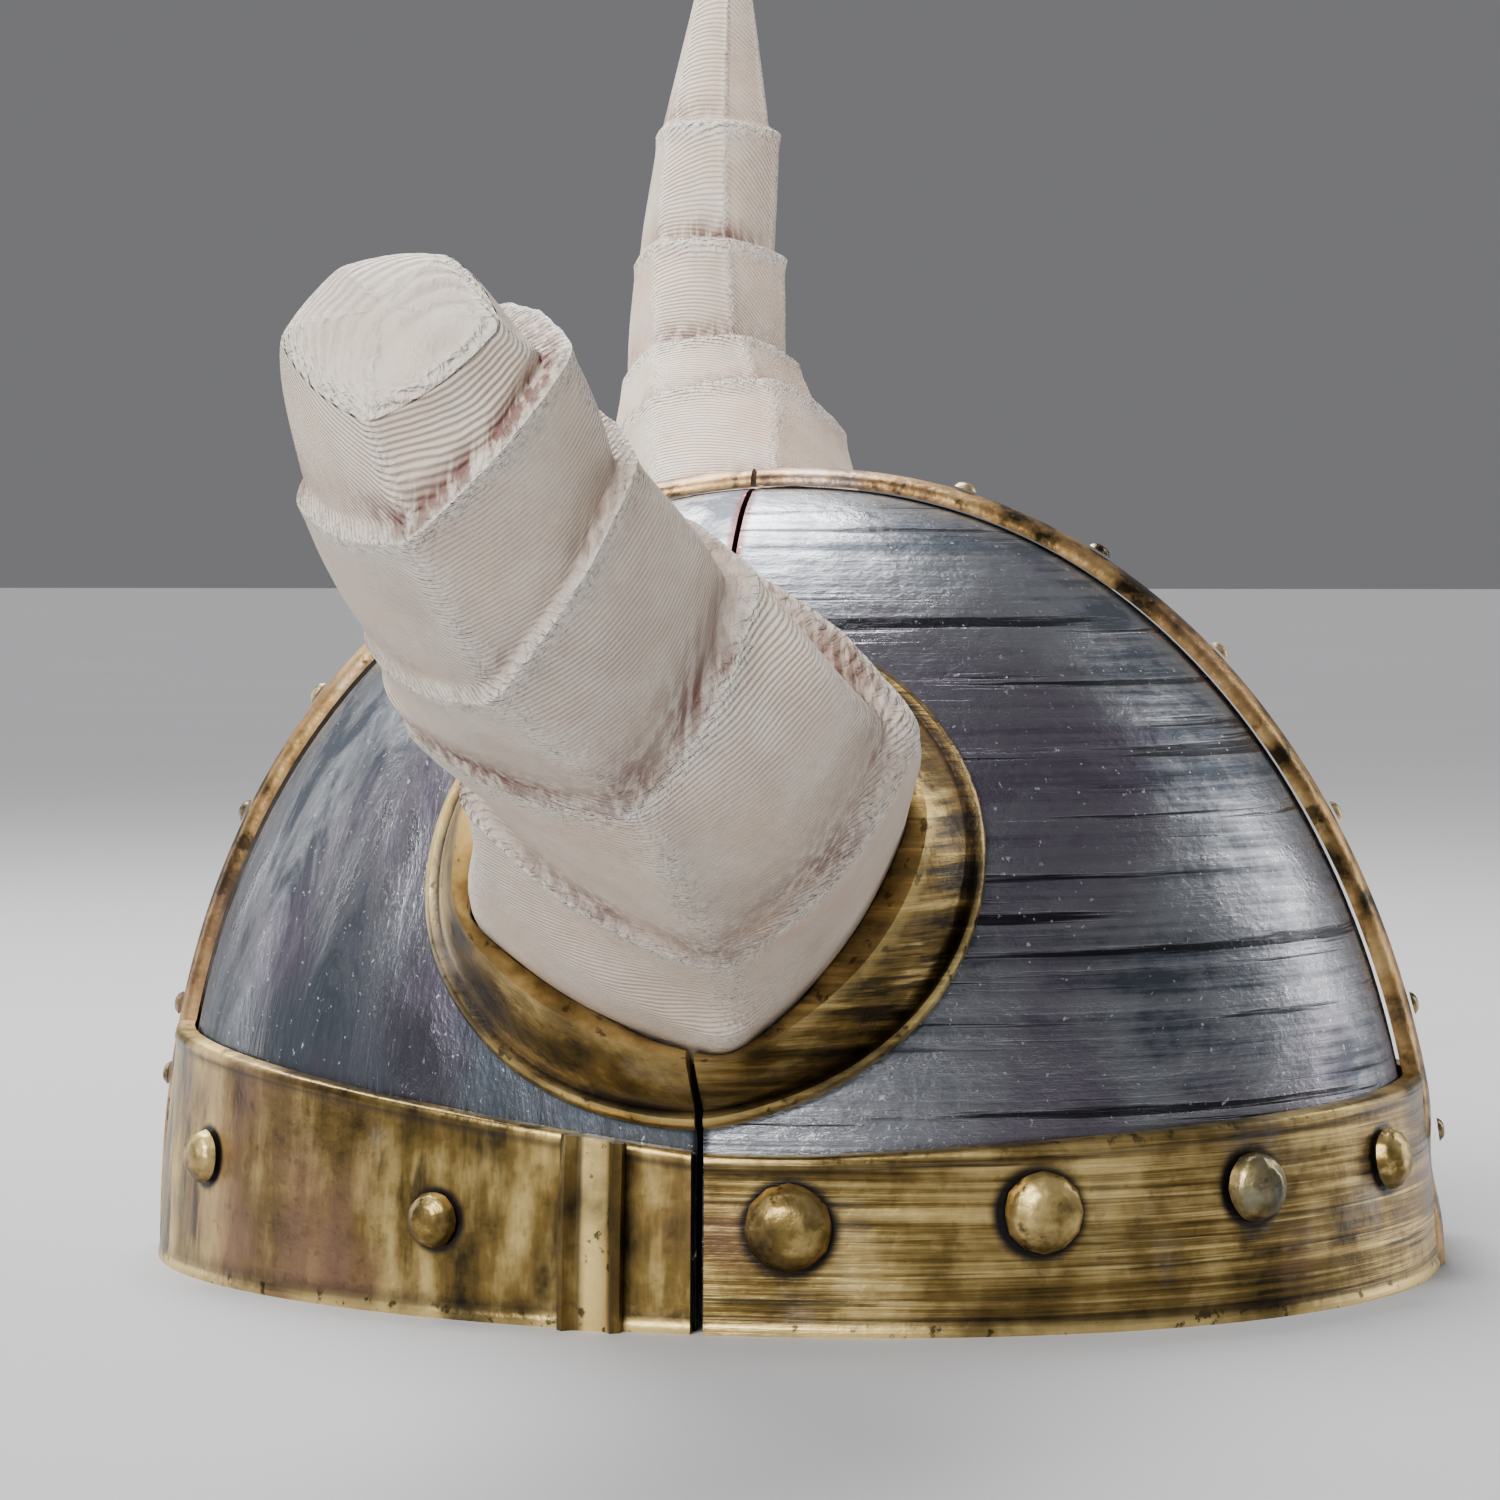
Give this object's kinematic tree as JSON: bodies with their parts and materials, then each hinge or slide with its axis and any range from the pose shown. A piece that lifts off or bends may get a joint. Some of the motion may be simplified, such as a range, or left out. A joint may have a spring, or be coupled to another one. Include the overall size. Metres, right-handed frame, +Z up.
{
  "type": "horned helmet",
  "caption": "Domed costume helmet with a riveted brow band, a crest ridge, flared horn sockets and two horns with growth rings, one of them blunt. Open below for the head.",
  "frame": {"origin": "middle of the whole helmet's footprint, on the plane the rim rests on", "axes": "+Z up out of the crown, +X to the front of the helmet, +Y to the wearer's left, towards the whole horn"},
  "size_m": [0.2356, 0.4382, 0.2811],
  "materials": {
    "silver_paint": "hand-painted silver with dark blue wear, printed layers showing in front",
    "antique_gold_paint": "hand-painted antique gold with dark streaks",
    "bone_paint": "hand-painted bone, dry-brushed ridges and reddish-brown valleys"
  },
  "bodies": {
    "root": {"shell_front": "silver_paint", "shell_rear": "silver_paint", "band_right_front": "antique_gold_paint", "band_right_rear": "antique_gold_paint", "band_left_front": "antique_gold_paint", "band_left_rear": "antique_gold_paint", "crest_front": "antique_gold_paint", "crest_rear": "antique_gold_paint", "socket_right_front": "antique_gold_paint", "socket_right_rear": "antique_gold_paint", "socket_left_front": "antique_gold_paint", "socket_left_rear": "antique_gold_paint", "horn_right": "bone_paint", "horn_left": "bone_paint", "batten_right": "antique_gold_paint", "batten_left": "antique_gold_paint", "rivet_front_right_1": "antique_gold_paint", "rivet_front_right_2": "antique_gold_paint", "rivet_front_right_3": "antique_gold_paint", "rivet_front_right_4": "antique_gold_paint", "rivet_front_left_1": "antique_gold_paint", "rivet_front_left_2": "antique_gold_paint", "rivet_front_left_3": "antique_gold_paint", "rivet_front_left_4": "antique_gold_paint", "rivet_rear_right_1": "antique_gold_paint", "rivet_rear_right_2": "antique_gold_paint", "rivet_rear_left_1": "antique_gold_paint", "rivet_rear_left_2": "antique_gold_paint", "stud_front_1": "antique_gold_paint", "stud_front_2": "antique_gold_paint", "stud_front_3": "antique_gold_paint", "stud_front_4": "antique_gold_paint", "stud_front_5": "antique_gold_paint", "stud_front_6": "antique_gold_paint", "stud_rear_1": "antique_gold_paint", "stud_rear_2": "antique_gold_paint", "stud_rear_3": "antique_gold_paint", "stud_rear_4": "antique_gold_paint", "stud_rear_5": "antique_gold_paint", "stud_rear_6": "antique_gold_paint"}
  },
  "joints": []
}
